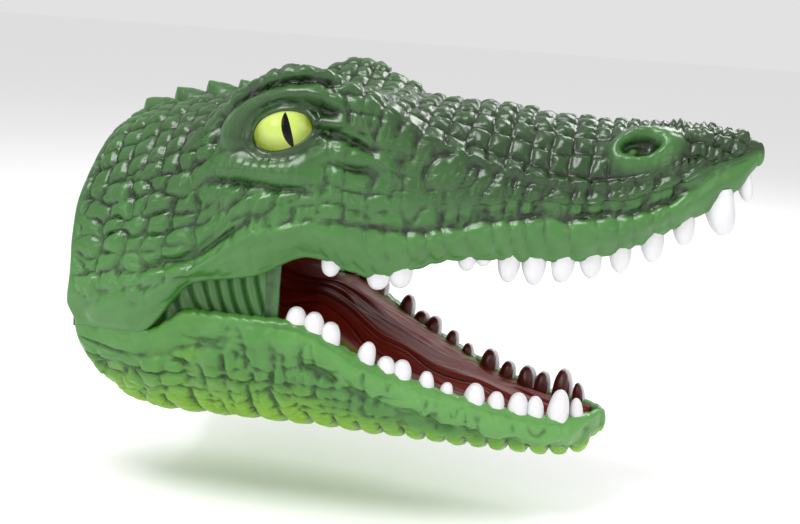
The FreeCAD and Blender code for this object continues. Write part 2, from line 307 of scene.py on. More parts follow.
def rubber(name, stops, creviceShade, gloss, grainMm=0.55, grainDepthMm=0.10, index=1.47):
    # moulded and spray-painted soft rubber: glossy highlights on every scale, and painted shade that darkens
    # the folds; the base colour goes by tone, and the painted shade colour by how deep a point is
    material, tree = startMaterial(name)
    place = addNode(tree, "ShaderNodeTexCoord").outputs["Object"]
    blotch = addNode(tree, "ShaderNodeTexNoise", {"Scale": perMetre(14), "Detail": 4.0, "Roughness": 0.6},
                     {"Vector": place}).outputs["Fac"]
    speck = addNode(tree, "ShaderNodeTexNoise", {"Scale": perMetre(2.2), "Detail": 3.0},
                    {"Vector": place}).outputs["Fac"]
    drift = addNode(tree, "ShaderNodeMath", {"operation": "MULTIPLY_ADD", 1: 0.56, 2: -0.28}, {0: blotch})
    tone = addNode(tree, "ShaderNodeMath", {"operation": "ADD", "use_clamp": True},
                   {0: shade(tree, "tone"), 1: drift.outputs[0]}).outputs[0]
    paint = ramp(tree, tone, stops)
    # painted shade: the crevice shade colour goes over the paint by how deep a point lies, broken up by fine
    # specks
    patchyShade = addNode(tree, "ShaderNodeMath", {"operation": "MULTIPLY"},
                   {0: shade(tree, "creviceShade"), 1: ranged(tree, speck, 0.3, 0.62, 0.55, 1.0)}).outputs[0]
    paint = mixed(tree, ranged(tree, patchyShade, 0.12, 0.95, 0.0, 0.92), paint, creviceShade)
    grain = addNode(tree, "ShaderNodeTexNoise", {"Scale": perMetre(grainMm), "Detail": 2.0},
                    {"Vector": place}).outputs["Fac"]
    raised = addNode(tree, "ShaderNodeBump", {"Strength": 0.55, "Distance": grainDepthMm * mm},
                     {"Height": grain}).outputs["Normal"]
    settings = {"Roughness": gloss, "IOR": index, "Coat Weight": 0.1, "Coat Roughness": 0.2}
    shader = addNode(tree, "ShaderNodeBsdfPrincipled", settings, {"Base Color": paint, "Normal": raised})
    addNode(tree, "ShaderNodeOutputMaterial", {}, {"Surface": shader.outputs[0]})
    return material


def plainPaint(name, face, edge, gloss, coat, label, index=1.47):
    # smooth painted finish whose colour goes from face to edge by one attribute
    material, tree = startMaterial(name)
    place = addNode(tree, "ShaderNodeTexCoord").outputs["Object"]
    cloud = addNode(tree, "ShaderNodeTexNoise", {"Scale": perMetre(5), "Detail": 2.0},
                    {"Vector": place}).outputs["Fac"]
    amount = addNode(tree, "ShaderNodeMath", {"operation": "MULTIPLY_ADD", 1: 0.16, "use_clamp": True},
                     {0: cloud, 2: shade(tree, label)}).outputs[0]
    paint = mixed(tree, ranged(tree, amount, 0.12, 1.0), face, edge)
    wave = addNode(tree, "ShaderNodeBump", {"Strength": 0.35, "Distance": 0.15 * mm},
                   {"Height": cloud}).outputs["Normal"]
    settings = {"Roughness": gloss, "IOR": index, "Coat Weight": coat, "Coat Roughness": 0.08}
    shader = addNode(tree, "ShaderNodeBsdfPrincipled", settings, {"Base Color": paint, "Normal": wave})
    addNode(tree, "ShaderNodeOutputMaterial", {}, {"Surface": shader.outputs[0]})
    return material


# dark bottle green on the crown and snout, mid green on the cheeks, pale green at the lips, and near-black
# painted shade in the folds
headRubber = rubber("painted rubber, head", [
    (0.0, "#457738"), (0.22, "#3D6E31"), (0.5, "#36622C"), (0.76, "#2F5425"), (1.0, "#233F1B")],
    "#11180A", 0.30)
# leaf green at the lip going to yellow green below the throat, and dark green painted shade in the folds
jawRubber = rubber("painted rubber, underside", [
    (0.0, "#7AAA1E"), (0.3, "#619627"), (0.62, "#437A31"), (1.0, "#5A9247")], "#1E4214", 0.32)
# glossy maroon mouth, olive where the paint thins out beside the gums, and near-black painted shade in the
# folds
mouthRubber = rubber("painted rubber, mouth", [
    (0.0, "#5E571E"), (0.22, "#63330F"), (0.5, "#701A0A"), (1.0, "#520E05")],
    "#220602", 0.46, 0.8, 0.05, 1.22)
# white tooth paint on the outer faces, maroon left on the faces toward the tongue
toothPaint = plainPaint("tooth paint", "#DAD9DC", "#541A10", 0.32, 0.15, "inner")
# wet-looking yellow green eye with an olive painted shadow toward its edge
eyePaint = plainPaint("eye paint", "#B4C85C", "#8A9C2C", 0.16, 0.3, "edge")
# black gloss paint of the slit
pupilPaint = plainPaint("pupil paint", "#030303", "#0B0B0B", 0.14, 0.0, "edge", 1.28)
print("materials made")


places = {"roof": 0.2, "ridge": 0.4, "cheek": 0.63, "crease": 0.86, "band": 0.93, "lip": 1.0}
skin = {"rows": 300, "columns": 122, "rollColumns": 9, "rollRadius": 2.8, "rollSpan": 0.075,
        "wall": 3.0, "backRows": 80, "backColumns": 56, "backFrontX": 103, "tipRows": 8, "tipReach": 2.2}


def headSection(x, v):
    # half-width and height on the section at x; v goes from -1 at the right lip over 0 to 1 at the left
    lip = [along(head["lipY"], x), along(head["lipZ"], x) + 1.0]
    crease = [along(head["creaseY"], x), along(head["creaseZ"], x)]
    ridge = [along(head["ridgeY"], x), along(head["ridgeZ"], x)]
    crown = along(head["crownZ"], x)
    swell = np.minimum(2.2, 0.12 * lip[0])
    band = [(lip[0] + crease[0]) / 2 + swell, (lip[1] + crease[1]) / 2]
    cheek = [(crease[0] + ridge[0]) / 2 + swell, (crease[1] + ridge[1]) / 2]
    roof = [0.55 * ridge[0], crown - 0.25 * (crown - ridge[1])]
    mirror = [-roof[0], roof[1]]
    rail = [mirror, [0 * crown, crown], roof, ridge, cheek, crease, band, lip]
    controls = np.stack([np.stack(pair, axis=-1) for pair in rail], axis=-2)
    side = np.minimum(np.abs(v), 1)
    yz = through(controls, [-places["roof"], 0] + list(places.values()), side)
    return np.maximum(yz[..., 0], 0) * np.sign(v), yz[..., 1]


def rollIn(y, z, v, radius, span, down):
    # past the lip edge the skin turns in under itself by half a circle, then goes on behind the lip
    w = np.clip((np.abs(v) - 1) / span, 0, 1)
    r = np.minimum(radius, np.abs(y) / 2)
    turn = math.pi * np.minimum(w / 0.7, 1)
    y = np.sign(v) * (np.abs(y) - r * (1 - np.cos(turn)))
    return y, z + down * (0.55 * r * np.sin(turn) - 3.2 * np.maximum(w - 0.7, 0) / 0.3)


def eyePlane(x, z, eye):
    # position along and across the eye, whose front corner is the higher one
    turn = math.radians(eye["tilt"])
    dx, dz = x - eye["x"], z - eye["z"]
    return dx * math.cos(turn) + dz * math.sin(turn), dz * math.cos(turn) - dx * math.sin(turn)


def eyeReach(p, q, eye):
    # distance outside the eye opening in mm: an ellipse with a taller upper half, its top shifted forward
    tall = np.where(q > 0, eye["upper"], eye["lower"])
    p = p - eye["shift"] * q / tall
    return (np.sqrt((p / eye["half"]) ** 2 + (q / tall) ** 2) - 1) * 8


eye = {"x": -38.0, "z": 114.3, "tilt": 14.0, "half": 10.2, "upper": 6.9, "lower": 5.6, "shift": 1.3,
       "radius": 13.6, "crownY": 52.0, "centreX": -38.5, "centreZ": 115.0}
nostril = {"x": 79, "place": 0.27, "long": 16, "wide": 12, "rise": 3.6, "holeLong": 6.4, "holeWide": 3.7,
           "depth": 4.6, "bulb": 2.6}


def headRelief(x, v, z, arc, lipArc, ridgeArc, creaseArc, placeArc):
    # how far the skin stands out at each point, in mm, as a sum of scales, folds and features
    side = np.abs(v)
    away = np.abs(arc)
    hand = np.where(v > 0, 40.0, 0.0)
    aboveLip = lipArc - away
    aboveCrease = creaseArc - away
    snout = smooth(-22, 8, x)
    neck = smooth(-52, -66, x)
    brow = (1 - snout) * (1 - neck)
    roof = smooth(0.46, 0.38, side)
    band = smooth(0.845 + 0.06 * neck, 0.875 + 0.06 * neck, side)
    aboveBand = 1 - band
    flank = (1 - roof) * aboveBand
    wander = 1.2 * noise(x / 12, arc / 12, 3, 2)
    level = aboveCrease + hand

    # raised squarish scales in cross rows on the roof, smaller toward the snout tip
    pitch = 6.9 - 2.2 * smooth(60, 110, x)
    edge, name = scales((x + 0.7 * wander) / pitch, (arc + 0.7 * wander) / (1.12 * pitch), 11, 0.15)
    tile = smooth(0.0, 0.15, edge) * (0.6 + 0.6 * name) + 0.35 * smooth(0.1, 0.45, edge)
    relief = roof * (1.5 * tile - 0.9)

    # flatter blocks on the flank in level rows over the crease, larger on the neck
    lost = 0.09 * np.clip(noise(x / 8, level / 7, 19, 2) + 0.1, 0, 1)
    edge, name = scales((x + 2.6 * wander) / 8.6, (level - 2.2 * wander) / 6.6, 23, 0.3)
    edge = edge + lost
    block = smooth(0.0, 0.16, edge) * (0.5 + 0.7 * name) + 0.45 * smooth(0.1, 0.5, edge)
    edge, name = scales((x + 2.2 * wander) / 7.8, (level + 1.8 * wander) / 6.2, 29, 0.28)
    edge = edge + lost
    small = smooth(0.0, 0.16, edge) * (0.55 + 0.6 * name) + 0.4 * smooth(0.1, 0.45, edge)
    belowRidge = away - ridgeArc
    low = 1 - 0.3 * smooth(16, 4, aboveCrease) * (1 - snout)
    low = low * (1 - 0.75 * snout * smooth(-1, 2, belowRidge))
    relief = relief + flank * low * 1.6 * (1.25 * neck * (block - 0.75) + (1 - neck) * (small - 0.75))
    upright = folds((x + wander) / 4.6, level / 19, 31, 2)
    strong = 1.2 * snout + 0.7 * brow + 0.45 * neck
    relief = relief + flank * strong * (upright - 0.6)

    # below the ridge of the snout: narrow upright slots, and a notched crest along the ridge itself
    phase = (x + 0.25 * belowRidge) / 7.2 + 0.5 * noise(x / 9, level / 16, 33)
    slots = np.abs(np.sin(math.pi * phase)) ** 0.35
    slotted = snout * aboveBand * smooth(-1, 1.5, belowRidge) * smooth(17, 9, belowRidge)
    relief = relief + slotted * 2.0 * (slots - 0.8)
    crestLine = smooth(-8, 8, x) * smooth(104, 92, x)
    relief = relief + crestLine * 1.5 * bump(belowRidge + 0.3 * wander, 1.5) * (0.5 + 0.5 * slots)
    cross = folds((x + 2 * wander) / 19, level / 4.2, 37, 2)
    relief = relief + flank * (0.3 * snout + 0.7 * brow + 0.3 * neck) * (cross - 0.6)
    relief = relief + roof * 0.5 * (folds((x + wander) / 3.2, arc / 5, 41, 2) - 0.5)

    # deep ragged crease above the lip band, and soft upright ribs down the band
    ragged = aboveCrease + 1.3 * noise(x / 5.5, 0 * x, 43, 2)
    cut = (0.55 + 0.45 * smooth(-10, 20, x)) * smooth(104, 86, x)
    relief = relief - 1.5 * cut * bump(ragged, 1.4) - 0.9 * cut * bump(ragged - 3.6, 2.2)
    fade = 0.35 + 0.65 * smooth(-20, 14, x)
    relief = relief + band * fade * smooth(-76, -50, x) * 1.2 * (lipRibs(x + 0.15 * aboveLip, v) - 0.6)
    relief = relief + band * 0.5 * noise(x / 8, arc / 5, 53, 2)

    # behind the mouth corner: broad puckers below a fold that runs from the neck up to the crease
    puckers = folds((x + aboveLip / 2 + wander) / 9, (level + 2 * wander) / 16, 59, 2)
    relief = relief + 1.1 * neck * smooth(0.78, 0.92, side) * (puckers - 0.6)
    rearCut = smooth(-88, -78, x) * smooth(-44, -54, x)
    relief = relief - 2.0 * rearCut * bump(aboveCrease + 0.8 * wander - 2.6, 1.5)
    rearRoll = smooth(-98, -84, x) * smooth(-22, -32, x)
    relief = relief + rearRoll * 1.2 * bump(aboveCrease + 0.8 * wander + 1.6, 2.0)
    relief = relief + rearRoll * 0.5 * (upright - 0.6) * bump(aboveCrease + 1.6, 3.0)

    relief = np.clip(relief, -2.2, 2.6) * (1 - 0.8 * smooth(90, 103, x) * smooth(0.40, 0.5, side))

    # eye: sunk opening, a lid ridge above it with a groove behind the ridge, a bag below it with a
    # groove and wrinkles under that, and a crease and a puff forward of its front corner
    p, q = eyePlane(x, z, eye)
    reach = eyeReach(p, q, eye)
    outward = smooth(0.33, 0.4, side)
    fold = (np.sqrt(((p - 3) / 21) ** 2 + (q / np.where(q > 0, 12.2, 14)) ** 2) - 1) * 13
    below = smooth(1, -4, q)
    dx, dz = x - eye["x"], z - eye["z"]
    bagLevel = dz + 0.8 * noise(dx / 7, dz / 9, 61)
    bagEnds = smooth(-29, -18, dx) * smooth(17, 3, dx)
    calm = np.maximum(smooth(4, 2, fold) * smooth(24, 6, p), bagEnds * smooth(-18.5, -17, bagLevel) * below)
    relief = relief * (1 - 0.88 * calm * outward)
    ridgeUp = 2.7 * bump(fold, 1.9) - 2.6 * bump(fold - 4.3, 1.3) * smooth(-4, 4, q)
    ridgeUp = ridgeUp - 1.0 * bump(fold + 3.6, 1.6) * smooth(-4, 4, q)
    relief = relief + outward * (1 - below) * smooth(24, 17, p) * ridgeUp
    socket = 0.5 + 1.2 * below
    relief = relief - outward * (socket * bump(reach - 3.0, 2.4) + 7.5 * smooth(1.0, -1.5, reach))
    bagPart = outward * bagEnds * below
    creased = np.abs(np.sin(math.pi * (dx / 3.1 + 0.6 * noise(dx / 6, dz / 9, 63)))) ** 0.6
    bag = bump(bagLevel + 12.8, 3.7)
    relief = relief + bagPart * bag * (2.1 + 0.7 * (creased - 0.7))
    relief = relief - bagPart * 2.3 * bump(bagLevel + 18.0, 1.25)
    relief = relief + bagPart * 1.5 * bump(bagLevel + 22.0, 2.4) * (0.4 + 0.6 * creased)
    run = p - 10.8
    front = q + 1.8 + 0.28 * run + 0.010 * run ** 2 + 1.3 * noise(p / 8, q / 6, 65, 2)
    ahead = outward * smooth(7, 12, p)
    relief = relief - ahead * smooth(37, 20, p) * 2.0 * bump(front, 1.2 + 0.03 * run)
    relief = relief + ahead * smooth(30, 20, p) * 1.6 * bump(front - 3.6, 1.9)
    relief = relief - ahead * smooth(26, 14, p) * 1.2 * bump(front - 7.6, 1.5)
    puff = outward * smooth(10, 18, p) * smooth(38, 26, p)
    relief = relief + puff * (1.5 * bump(front + 5.0, 2.8) - 0.9 * bump(front + 9.6, 1.6))

    # upright slots down the outer side of the brow roll
    crest = smooth(0.30, 0.36, side) * smooth(0.56, 0.46, side) * smooth(-70, -58, x) * smooth(16, -2, x)
    crest = crest * smooth(4.6, 6.4, fold)
    notches = np.abs(np.sin(math.pi * (x / 5.8 + 0.4 * noise(x / 9, arc / 12, 67)))) ** 0.45
    notched = 1.5 * (notches - 0.68) * smooth(0.34, 0.40, side) + 0.6
    relief = relief * (1 - 0.6 * crest) + crest * notched

    # nostril: an oval mound with a crater and a bulb inside it
    p, q = x - nostril["x"], placeArc - away
    mound = np.clip(1 - (p / nostril["long"]) ** 2 - (q / nostril["wide"]) ** 2, 0, 1)
    relief = relief * (1 - smooth(0.1, 0.5, mound) * 0.8) + nostril["rise"] * smooth(0, 0.8, mound)
    hole = np.sqrt(((p + 2) / nostril["holeLong"]) ** 2 + ((q - 0.5) / nostril["holeWide"]) ** 2)
    relief = relief - nostril["depth"] * smooth(1.25, 0.6, hole) + 0.8 * bump(hole - 1.5, 0.3)
    relief = relief + nostril["bulb"] * bump(np.sqrt((p + 4.4) ** 2 + ((q + 0.9) * 1.2) ** 2), 2.7)

    # small knobs at the tip of the snout
    for knobX, knobArc, high, wide in ((111.5, 3.4, 2.0, 3.0), (98, 9.5, 1.6, 3.0), (90, 2.5, 1.2, 2.6)):
        relief = relief + high * bump(np.hypot(x - knobX, away - knobArc), wide)
    fine = 0.16 * noise(x / 1.9, arc / 1.9, 71, 2)
    return (relief + fine) * smooth(1.0, 0.985, side) * smooth(snoutX, snoutX - 6, x)


def arcLengths(y, z, middle):
    # signed distance along each row from its middle column
    step = np.hypot(np.diff(y, axis=1), np.diff(z, axis=1))
    total = np.concatenate([np.zeros((y.shape[0], 1)), np.cumsum(step, axis=1)], axis=1)
    return total - total[:, middle:middle + 1]


def roundedEnd(x, y, z, rows, reach, centreZ):
    # the last section shrinks to a point while it moves on by reach, as a quarter of an ellipse
    turn = np.linspace(0, math.pi / 2, rows + 1)[1:, None]
    endY = y[-1] * np.cos(turn)
    endZ = centreZ + (z[-1] - centreZ) * np.cos(turn)
    endX = x[-1] + reach * np.sin(turn)
    return np.vstack([x, endX]), np.vstack([y, endY]), np.vstack([z, endZ])


def columnsOf(settings):
    # places across a skin: even from lip to lip, with the columns of the inward roll at both ends
    main = np.linspace(-1, 1, 2 * settings["columns"] + 1)
    roll = 1 + settings["rollSpan"] * np.linspace(0, 1, settings["rollColumns"] + 1)[1:]
    return np.concatenate([-roll[::-1], main, roll])


def lipRibs(x, v):
    # soft upright ribs along a lip, 1 on a rib and 0 between two, on each side its own
    return np.abs(np.sin(math.pi * (x / 6.6 + 0.7 * noise(x / 12, np.sign(v) * 3.5, 47, 2)))) ** 0.7


def headBase(x, v):
    # section points with the lip edge waved by its ribs and rolled in
    y, z = headSection(x, v)
    z = z - 0.8 * (lipRibs(x, v) - 0.6) * smooth(0.92, 1.0, np.abs(v)) * smooth(-40, 0, x)
    radius = skin["rollRadius"] * (1 - 0.6 * smooth(-84, -92, x))
    return rollIn(y, z, v, radius, skin["rollSpan"], -1)


def rimShift(x, v):
    # the neck rim runs a little forward at the crown and at the lips, and this fades over 40 mm
    side = np.abs(v)
    return (0.8 + 2.2 * smooth(0.93, 1.0, side) + 2.4 * smooth(0.5, 0.15, side)) * np.clip(
        1 - (x - neckX) / 40, 0, 1) ** 2


def tidyRim(x, start, wall):
    # the neck rim's outer edge is rounded: it starts inside by a quarter circle over half the wall
    depth = np.clip((x - start) / (wall / 2), 0, 1)
    return wall / 2 * (1 - np.sqrt(1 - (1 - depth) ** 2))


vHead = columnsOf(skin)
endRows = 16
xHead = np.concatenate([neckX + 1.5 * np.linspace(0, 1, 5)[:-1] ** 2,
                        np.linspace(neckX + 1.5, 108, skin["rows"] - endRows - 4),
                        108 + 9 * np.sin(np.linspace(0, math.pi / 2, endRows + 1)[1:])])
gridX, gridV = np.meshgrid(xHead, vHead, indexing="ij")
startX = gridX[0] + rimShift(gridX[0], vHead)
gridX = gridX + rimShift(gridX, gridV)
gridY, gridZ = headBase(gridX, gridV)
middle = len(vHead) // 2
arcs = arcLengths(gridY, gridZ, middle)


def arcAt(place):
    return arcs[:, [int(np.argmin(np.abs(vHead - place)))]]


sink = tidyRim(gridX, startX, skin["wall"])
relief = headRelief(gridX, gridV, gridZ, arcs, arcAt(1), arcAt(places["ridge"]), arcAt(places["crease"]),
                    arcAt(nostril["place"]))
relief = relief * smooth(0, 5, gridX - startX)
base = np.stack([gridX, gridY, gridZ], axis=-1)
facing = normals(base)
facing[-1] = (1, 0, 0)
facing = facing * np.sign((facing[:, [middle], 2:3]) + 1e-9)
outer = base + facing * (relief - sink)[..., None]
outer[:, middle, 1] = 0
headOuter = outer
tipX, tipY, tipZ = roundedEnd(outer[..., 0], outer[..., 1], outer[..., 2], skin["tipRows"],
                              skin["tipReach"], 115.6)
outer = np.stack([tipX, tipY, tipZ], axis=-1)


def blurred(values, size):
    # running mean over both directions of a grid
    for axis in (0, 1):
        padded = np.concatenate([np.repeat(values.take([0], axis), size, axis), values,
                                 np.repeat(values.take([-1], axis), size, axis)], axis)
        total = np.cumsum(padded, axis)
        total = np.concatenate([np.zeros_like(total.take([0], axis)), total], axis)
        count = values.shape[axis]
        width = 2 * size + 1
        values = (total.take(range(width, width + count), axis) - total.take(range(count), axis)) / width
    return values


def valleys(height, near=3, wide=9):
    # 0 on open skin to 1 in a fold, from how far a point lies below its surroundings
    low = blurred(height, near) - height
    broad = blurred(height, wide) - height
    return np.clip(0.9 * low + 0.55 * broad, 0, 1.2)


def grown(values, rows):
    # the same values with the last row repeated for the rounded end
    return np.vstack([values, np.repeat(values[-1:], rows, axis=0)])


side = np.abs(gridV)
snoutPart = smooth(-20, 30, gridX)
topness = smooth(0.9, 0.35, side)
tone = 0.12 + 0.42 * smooth(0.90, 0.62, side) + 0.36 * smooth(0.62, 0.32, side)
tone = tone + 0.26 * snoutPart * smooth(0.88, 0.7, side) - 0.20 * smooth(-70, -100, gridX) * topness
tone = tone - 0.12 * smooth(-60, -90, gridX) * smooth(0.5, 0.8, side)
moundP, moundQ = gridX - nostril["x"], arcAt(nostril["place"]) - np.abs(arcs)
mound = np.sqrt((moundP / nostril["long"]) ** 2 + (moundQ / nostril["wide"]) ** 2)
tone = tone * (1 - 0.62 * smooth(0.95, 0.5, mound)) - 0.1 * smooth(108, 118, gridX) * smooth(0.3, 0.6, side)
lidReach = eyeReach(*eyePlane(gridX, gridZ, eye), eye)
tone = tone + 0.22 * smooth(12, 4, lidReach) * smooth(0.3, 0.4, side)
tone = np.clip(tone, 0, 1)
# painted shade: darker colour in the folds and hollows of the relief, stronger on the top than at the lips
creviceShade = valleys(relief) * (0.45 + 0.55 * smooth(0.97, 0.86, side))
creviceShade = creviceShade * (0.7 + 0.3 * smooth(0.75, 0.4, side))
# painted shade along the ragged crease above the lip band
creaseDistance = arcAt(places["crease"]) - np.abs(arcs) + 1.5 * noise(gridX / 4, arcs / 9, 199, 2)
creaseShade = 0.75 * bump(creaseDistance - 1, 2.0) * smooth(-30, 10, gridX) * smooth(108, 92, gridX)
creviceShade = np.clip(creviceShade + creaseShade, 0, 1.2)
# painted shade round the sunk eye opening
creviceShade = np.maximum(creviceShade, 0.75 * smooth(6.5, 1.5, lidReach) * smooth(0.3, 0.4, side))

backV = np.linspace(-1, 1, skin["backColumns"])
backX = np.linspace(neckX, skin["backFrontX"], skin["backRows"])
innerX, innerV = np.meshgrid(backX, backV, indexing="ij")
innerX = innerX + rimShift(innerX, innerV)
innerY, innerZ = headSection(innerX, innerV)
inner = np.stack([innerX, innerY, innerZ], axis=-1)
inward = normals(inner)
inward = inward * np.sign(inward[:, [skin["backColumns"] // 2], 2:3])
inner = inner - inward * skin["wall"]
inner[:, 0, 1] = np.minimum(inner[:, 0, 1], 0)
inner[:, -1, 1] = np.maximum(inner[:, -1, 1], 0)

headSkin = slab("headSkin", outer, inner, headRubber,
                {"tone": (grown(tone, skin["tipRows"]), 0.35),
                 "creviceShade": (grown(creviceShade, skin["tipRows"]), 0.1)})
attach(headSkin, "head")
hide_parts("head_shell")


under = {"rows": 260, "columns": 104, "rollColumns": 10, "rollRadius": 3.3, "rollSpan": 0.10,
         "wall": 3.2, "backRows": 70, "backColumns": 44, "tipRows": 8, "tipReach": 1.6,
         "rimLipX": -114.6, "rimKeelX": -96, "swell": 1.0}


def jawSection(x, v):
    # quarter ellipse on each side from the lip down to the keel; v is 0 at the keel and 1 at the left lip
    neck = smooth(-80, -92, x)
    half, lip = along(jaw["lipY"], x) - 0.5 * neck, along(jaw["lipZ"], x) - 1.0 + 4.0 * neck
    keel = along(jaw["keelZ"], x)
    angle = math.pi / 2 * (1 - np.minimum(np.abs(v), 1))
    swell = under["swell"] * np.minimum(1, half / 20)
    y = half * np.cos(angle) + swell * np.sin(2 * angle)
    return np.sign(v) * y, lip - (lip - keel) * np.sin(angle)


def jawRelief(x, v, arc, lipArc):
    # scalloped ventral plates, level folds on the cheek, and upright creases down a roll under the lip
    side = np.abs(v)
    belowLip = lipArc - np.abs(arc)
    belly = smooth(0.62, 0.42, side)
    wander = 1.2 * noise(x / 10, arc / 10, 103, 2)
    phase = (x + 20 + 0.25 * wander) / (9.0 - 1.4 * np.tanh((x + 20) / 40))
    lobe = np.abs(np.sin(math.pi * phase)) ** 0.5
    edge, name = scales(phase, (arc + 0.5 * wander) / 9, 107, 0.1)
    plate = smooth(0.0, 0.2, edge) * (0.75 + 0.4 * name)
    relief = belly * (2.1 * (lobe - 0.62) + 1.1 * (plate - 0.62))
    level = folds((x + 2 * wander) / 20, arc / 5.5, 109, 2)
    relief = relief + (1 - belly) * 1.5 * (level - 0.55) * smooth(3, 9, belowLip)
    upright = folds((x + wander) / 5.2, arc / 15, 113, 2)
    relief = relief + (1 - belly) * 1.4 * (upright - 0.6) * smooth(0, 4, belowLip) * smooth(-80, -58, x)
    relief = relief + 0.35 * noise(x / 3.5, arc / 3, 117, 2) * smooth(6, 2, belowLip)
    edge, name = scales((x + wander) / 8, (arc + wander) / 6.5, 127, 0.3)
    quilt = smooth(0.3, 0.45, side) * smooth(0.92, 0.7, side) * smooth(10, -40, x)
    relief = relief + quilt * 1.4 * (smooth(0, 0.2, edge) * (0.7 + 0.5 * name) - 0.6)
    roll = smooth(-60, -20, x) * smooth(72, 62, x)
    relief = relief + roll * (1.4 * bump(belowLip - 5, 4) - 2.0 * bump(belowLip - 13, 2.6))
    fine = 0.14 * noise(x / 1.9, arc / 1.9, 131, 2)
    relief = np.maximum(relief + fine, -2.2)
    return relief * smooth(1.0, 0.975, side) * smooth(chinX, chinX - 5, x)


vJaw = columnsOf(under)
startX = under["rimLipX"] + (under["rimKeelX"] - under["rimLipX"]) * np.cos(
    math.pi / 2 * np.minimum(np.abs(vJaw), 1)) ** 2
ease = np.linspace(0, 1, under["rows"])
ease = np.sin(ease * math.pi / 2) * 0.12 + ease * 0.88
gridX = startX + (chinX - startX) * ease[:, None]
gridV = np.broadcast_to(vJaw, gridX.shape)
gridY, gridZ = jawSection(gridX, gridV)
gridZ = gridZ + 0.6 * (lipRibs(1.4 * gridX, gridV) - 0.6) * smooth(0.90, 1.0, np.abs(gridV))
rollRadius = under["rollRadius"] * (1 - 0.6 * smooth(-86, -98, gridX))
gridY, gridZ = rollIn(gridY, gridZ, gridV, rollRadius, under["rollSpan"], 1)
middle = len(vJaw) // 2
arcs = arcLengths(gridY, gridZ, middle)
lipArc = arcs[:, [int(np.argmin(np.abs(vJaw - 1)))]]
relief = jawRelief(gridX, gridV, arcs, lipArc)
sink = tidyRim(gridX, startX, under["wall"])
relief = relief * smooth(0, 4, gridX - startX)
base = np.stack([gridX, gridY, gridZ], axis=-1)
facing = normals(base)
facing[-1] = (1, 0, 0)
facing = facing * -np.sign(facing[:, [middle], 2:3] - 1e-9)
outer = base + facing * (relief - sink)[..., None]
outer[:, middle, 1] = 0
outer[..., 2] = np.maximum(outer[..., 2], 0.05)
tipX, tipY, tipZ = roundedEnd(outer[..., 0], outer[..., 1], outer[..., 2], under["tipRows"],
                              under["tipReach"], 14.5)
outer = np.stack([tipX, tipY, tipZ], axis=-1)

side = np.abs(gridV)
tone = smooth(0.30, 0.90, side) * (0.66 + 0.34 * smooth(-60, 20, gridX)) + 0.12 * smooth(10, 60, gridX)
# painted shade: darker colour in the folds and hollows of the relief
creviceShade = valleys(relief)

backV = np.linspace(-1, 1, under["backColumns"])
backStart = under["rimLipX"] + (under["rimKeelX"] - under["rimLipX"]) * np.cos(math.pi / 2 * backV) ** 2
innerX = backStart + (chinX - 8 - backStart) * np.linspace(0, 1, under["backRows"])[:, None]
innerV = np.broadcast_to(backV, innerX.shape)
innerY, innerZ = jawSection(innerX, innerV)
inner = np.stack([innerX, innerY, innerZ], axis=-1)
outward = normals(inner)
outward = outward * -np.sign(outward[:, [under["backColumns"] // 2], 2:3])
inner = inner - outward * under["wall"]
inner[..., 2] = np.maximum(inner[..., 2], 2.0)

jawSkin = slab("jawSkin", outer, inner, jawRubber,
               {"tone": (grown(np.clip(tone, 0, 1), under["tipRows"]), 0.4),
                "creviceShade": (grown(creviceShade, under["tipRows"]), 0.1)})
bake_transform(jawSkin)
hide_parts("jaw_shell", "throat_skin")


bellows = {"rear": -86, "front": mouthX - 0.3, "ribs": 9, "depth": 2.4, "y": 41.6, "thick": 2.0,
           "lean": 5.5, "tuck": 3.2, "flange": 4.2}


def bellowsGrid(hand, inset, rows, columns):
    # folded panel: round ribs with sharp folds between them, bent forward at the foot of each rib
    x = np.linspace(bellows["rear"], bellows["front"], columns)[None, :]
    low = along(jaw["lipZ"], x) - bellows["tuck"]
    high = along(head["lipZ"], x) + bellows["tuck"] + 1
    share = np.linspace(0, 1, rows)[:, None]
    z = low + (high - low) * share
    flat = smooth(bellows["front"] - bellows["flange"] - 1.5, bellows["front"] - bellows["flange"], x)
    bent = x - bellows["lean"] * (1 - share) ** 2 * smooth(bellows["rear"], -66, x)
    pitch = (bellows["front"] - bellows["flange"] - bellows["rear"]) / bellows["ribs"]
    phase = (bent - bellows["rear"]) / pitch + 0.12 * noise(x / 9, z / 9, 151)
    rib = np.abs(np.sin(math.pi * phase)) ** 0.75
    pinch = smooth(0, 0.16, share) * smooth(1, 0.88, share)
    depth = bellows["depth"] * (0.45 + 0.55 * pinch) * (1 - flat)
    y = bellows["y"] + depth * (rib - 0.5) + 0.25 * noise(x / 4, z / 5, 157, 2) + 1.4 * flat
    y = y - inset - 1.6 * (1 - pinch) * (1 - flat)
    x, y, z = np.broadcast_arrays(x, y, z)
    edge = smooth(bellows["front"] - 3, bellows["front"] - 0.4, x)
    return np.stack([x, hand * y, z], axis=-1), 1.0 - rib * (1 - flat) * pinch, edge


for hand, word in ((1, "Left"), (-1, "Right")):
    front, fold, edge = bellowsGrid(hand, 0, 60, 240)
    behind, _, _ = bellowsGrid(hand, bellows["thick"], 60, 240)
    # painted shade: darker tone and crevice shade in the folds between the ribs
    panel = slab("bellows" + word, front, behind, headRubber,
                 {"tone": (0.1 + 0.3 * np.clip(fold - 0.3, 0, 1) + 0.1 * edge, 0.7),
                  "creviceShade": (0.7 * smooth(0.5, 1.0, fold) * (1 - edge) + 0.12 * edge, 0.2)})
    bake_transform(panel)
    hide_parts("cheek_bellows_" + word.lower())


lining = {"palateFront": 111, "floorFront": 69.5, "rearX": -37, "bow": 22, "across": 150, "thick": 1.8,
          "palateRows": 150, "gulletRows": 60, "floorRows": 150, "inset": 4.4, "palateArch": 5,
          "tongueRise": 3.4, "floorDrop": -0.2, "palateRise": 2.0, "rearHalf": 38.6, "trough": 2.4,
          "backCounts": (30, 16, 30, 40)}


